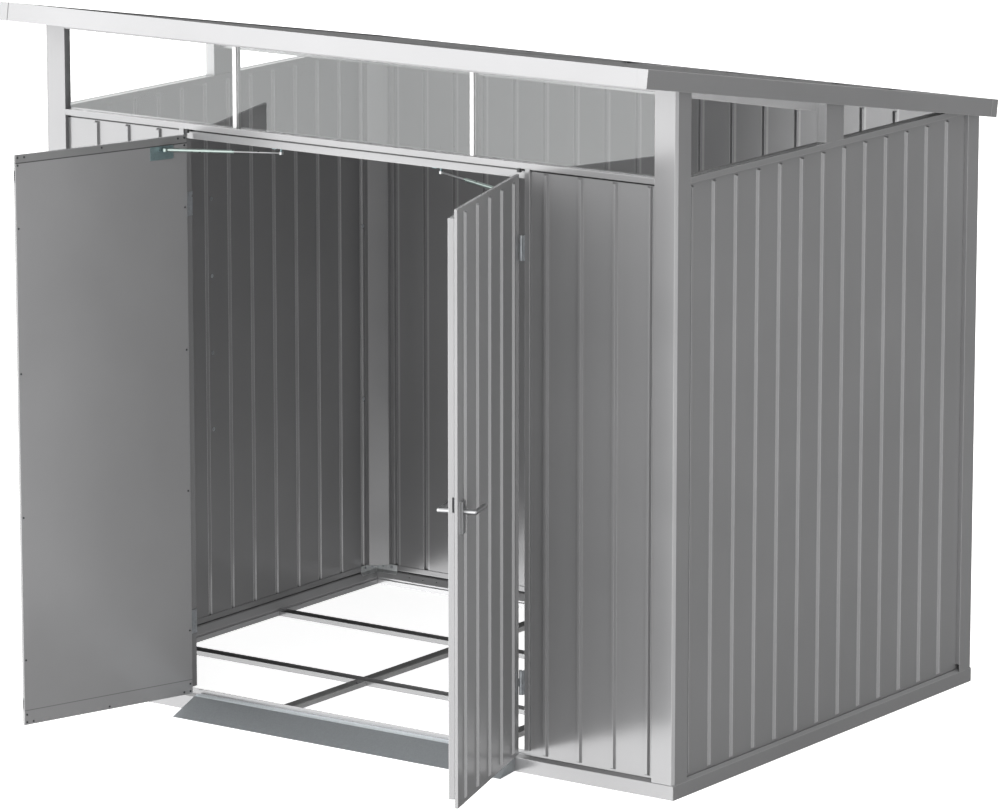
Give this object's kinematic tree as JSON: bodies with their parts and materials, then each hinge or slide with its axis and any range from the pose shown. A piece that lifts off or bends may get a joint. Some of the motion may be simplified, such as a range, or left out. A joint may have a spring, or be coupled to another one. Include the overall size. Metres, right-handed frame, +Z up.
{
  "type": "metal garden shed",
  "caption": "Walk-in metal garden shed with ribbed walls, a glazed strip under a roof that falls to the back, double doors on hinges with stays, a lock, and a low ramp.",
  "frame": {"origin": "middle of the underside of the front base rail, on the ground", "axes": "+X to the right seen from the front, +Y from the doors to the back wall, +Z up"},
  "size_m": [2.5484, 2.5369, 2.3413],
  "materials": {
    "silver_metal": "semi-gloss silver metallic",
    "zinc": "satin galvanised, slightly bluish",
    "bright_metal": "polished nickel",
    "lock_steel": "satin steel",
    "glazing": "clear, slightly glossy",
    "dark_plastic": "matt dark"
  },
  "bodies": {
    "shed": {"base_rail_front": "silver_metal", "base_rail_back": "silver_metal", "base_rail_left": "silver_metal", "base_rail_right": "silver_metal", "corner_brackets": "zinc", "floor_beams": "silver_metal", "floor_struts": "silver_metal", "ramp": "zinc", "post_front_left": "silver_metal", "post_front_right": "silver_metal", "post_rear_left": "silver_metal", "post_rear_right": "silver_metal", "panel_front_left": "silver_metal", "panel_front_right": "silver_metal", "panel_left": "silver_metal", "panel_right": "silver_metal", "panel_back": "silver_metal", "door_jambs": "silver_metal", "door_lintel": "silver_metal", "front_top_rail": "silver_metal", "side_top_rails": "silver_metal", "back_top_rail": "silver_metal", "roof_beams": "silver_metal", "side_uprights": "silver_metal", "mullions": "silver_metal", "glazing_panes": "glazing", "roof_sheets": "silver_metal", "fascia_front": "silver_metal", "fascia_back": "silver_metal", "fascia_sides": "silver_metal", "fascia_caps": "silver_metal", "hinge_jamb_plates": "zinc", "hinge_pins": "bright_metal", "stay_header_brackets": "zinc", "frame_screws": "bright_metal", "door_bumpers": "dark_plastic"},
    "door_left": {"leaf_left_skin": "silver_metal", "leaf_left_liner": "silver_metal", "leaf_left_hinge_plates": "zinc", "leaf_left_rivets": "bright_metal", "leaf_left_stay_bracket": "zinc"},
    "door_right": {"leaf_right_skin": "silver_metal", "leaf_right_liner": "silver_metal", "leaf_right_stile": "silver_metal", "leaf_right_hinge_plates": "zinc", "leaf_right_rivets": "bright_metal", "leaf_right_stay_bracket": "zinc", "lock_case": "lock_steel", "handle_plates": "bright_metal"},
    "handle": {"levers": "bright_metal", "spindle": "lock_steel", "tumbler": "lock_steel"},
    "bolt": {"lock_bolt": "lock_steel"},
    "key": {"key_plug": "bright_metal"},
    "shoot_top": {"shoot_bolt_top": "lock_steel"},
    "shoot_bottom": {"shoot_bolt_bottom": "lock_steel"},
    "stay_barrel_left": {"stay_cylinder_left": "zinc"},
    "stay_barrel_right": {"stay_cylinder_right": "zinc"},
    "stay_slide_left": {"stay_rod_left": "bright_metal"},
    "stay_slide_right": {"stay_rod_right": "bright_metal"}
  },
  "joints": [
    {"name": "door_left_hinge", "type": "hinge", "parent": "shed", "child": "door_left", "pos_m": [-0.668, -0.022, 0], "axis": [0, 0, 1], "range_deg": [0, 107]},
    {"name": "door_right_hinge", "type": "hinge", "parent": "shed", "child": "door_right", "pos_m": [0.668, -0.022, 0], "axis": [0, 0, 1], "range_deg": [-108.7, 0]},
    {"name": "handle_turn", "type": "hinge", "parent": "door_right", "child": "handle", "pos_m": [0.86598, -0.6069, 0.99], "axis": [0.9472, 0.3206, 0], "range_deg": [0, 60]},
    {"name": "bolt_slide", "type": "slide", "parent": "door_right", "child": "bolt", "axis": [0.3206, -0.9472, 0], "range_m": [0, 0.025]},
    {"name": "key_turn", "type": "hinge", "parent": "door_right", "child": "key", "pos_m": [0.86598, -0.6069, 0.945], "axis": [0.9472, 0.3206, 0], "range_deg": [0, 90]},
    {"name": "shoot_bolt_top_slide", "type": "slide", "parent": "door_left", "child": "shoot_top", "axis": [0, 0, 1], "range_m": [0, 0.032]},
    {"name": "shoot_bolt_bottom_slide", "type": "slide", "parent": "door_left", "child": "shoot_bottom", "axis": [0, 0, -1], "range_m": [0, 0.03]},
    {"name": "stay_left_pivot", "type": "hinge", "parent": "door_left", "child": "stay_barrel_left", "pos_m": [-0.6631, -0.12911, 1.897], "axis": [0, 0, 1], "range_deg": [-127.4, 0]},
    {"name": "stay_right_pivot", "type": "hinge", "parent": "door_right", "child": "stay_barrel_right", "pos_m": [0.66628, -0.12921, 1.897], "axis": [0, 0, 1], "range_deg": [0, 128.9]},
    {"name": "stay_left_slide", "type": "slide", "parent": "stay_barrel_left", "child": "stay_slide_left", "axis": [0.9, 0.4358, 0], "range_m": [-0.13335, 0]},
    {"name": "stay_right_slide", "type": "slide", "parent": "stay_barrel_right", "child": "stay_slide_right", "axis": [-0.9015, 0.4328, 0], "range_m": [-0.13626, 0]}
  ],
  "couplings": [
    {"joint": "bolt_slide", "follows": "handle_turn", "m_per_rad": 0.023873},
    {"joint": "stay_left_pivot", "follows": "door_left_hinge", "ratio": -1.19},
    {"joint": "stay_right_pivot", "follows": "door_right_hinge", "ratio": -1.1853},
    {"joint": "stay_left_slide", "follows": "door_left_hinge", "m_per_rad": -0.071369},
    {"joint": "stay_right_slide", "follows": "door_right_hinge", "m_per_rad": 0.071785}
  ]
}
